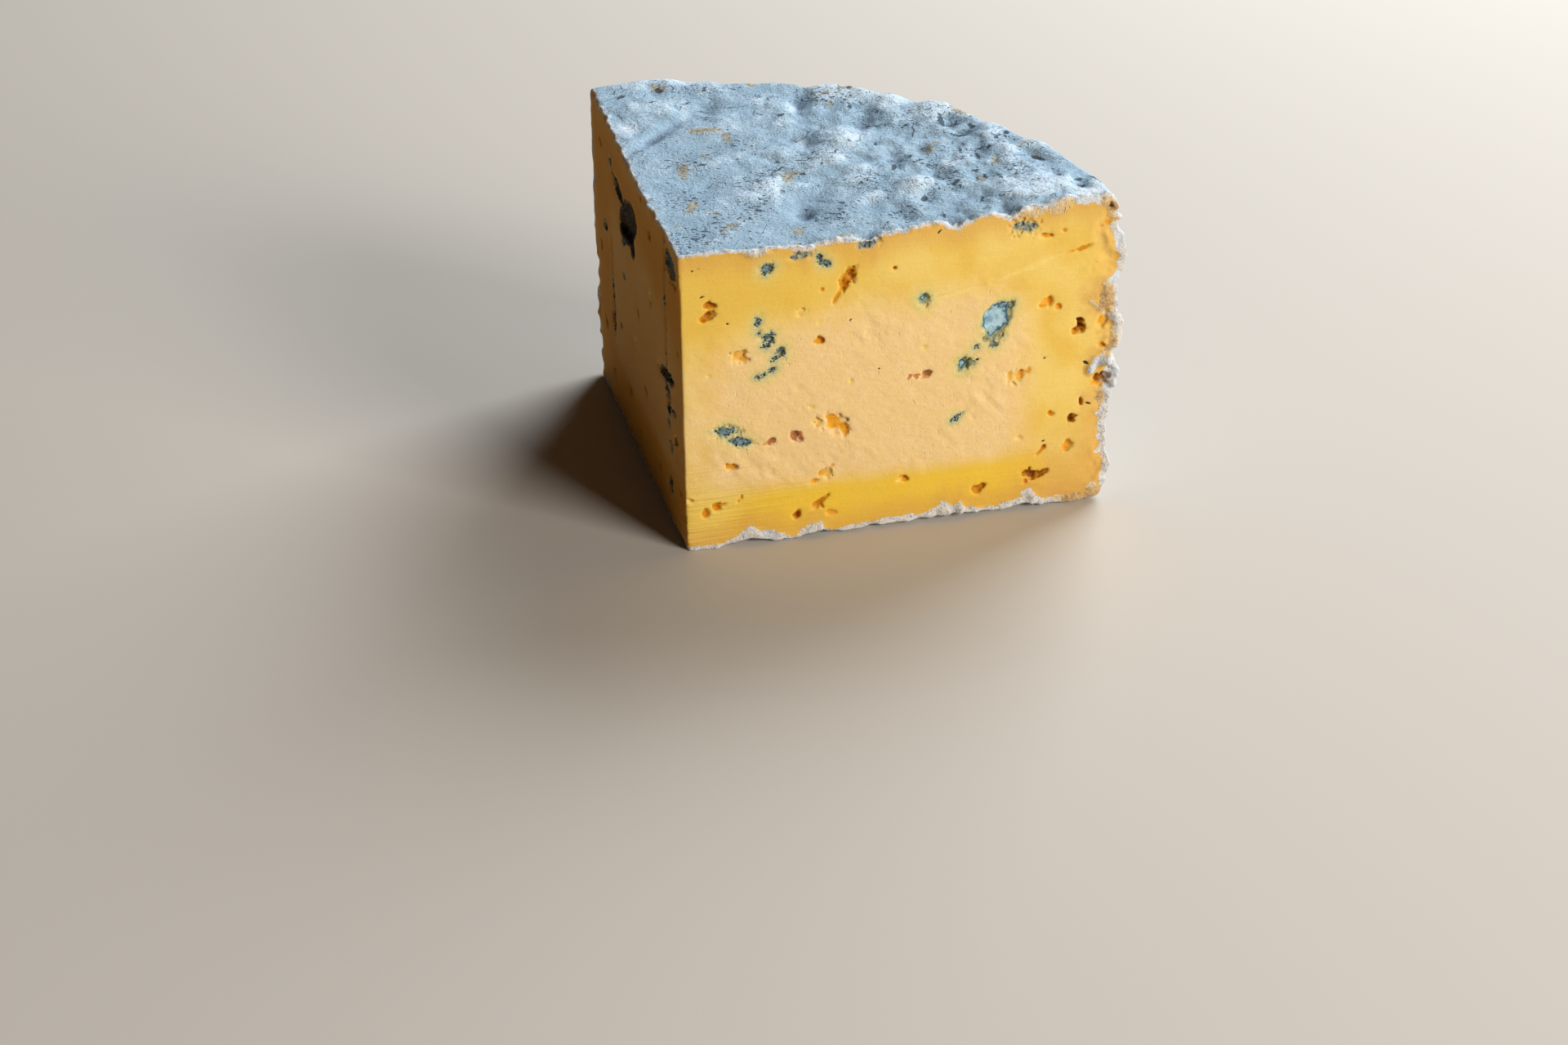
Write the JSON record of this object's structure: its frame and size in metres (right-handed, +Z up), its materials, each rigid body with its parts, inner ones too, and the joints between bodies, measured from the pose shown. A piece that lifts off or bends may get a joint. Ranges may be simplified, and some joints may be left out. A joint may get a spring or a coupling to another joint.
{
  "type": "blue cheese wedge",
  "caption": "Quarter wedge of a blue-veined cheese with a lumpy bloomy rind, upright cut faces with open eyes and mould pockets, and a flat base.",
  "frame": {"origin": "on the base plane, under the middle of the wedge's bounding box", "axes": "+Z up, the front cut face looks towards -Y, the side cut face towards -X, the curved rim towards +X and +Y"},
  "size_m": [0.117, 0.1158, 0.088],
  "materials": {
    "cheese": "waxy yellow-orange paste, paler in the core, with blue-green mould spots and a blue-grey bloomy rind on the top, the rim and the base"
  },
  "bodies": {
    "root": {"cheese_wedge": "cheese"}
  },
  "joints": []
}
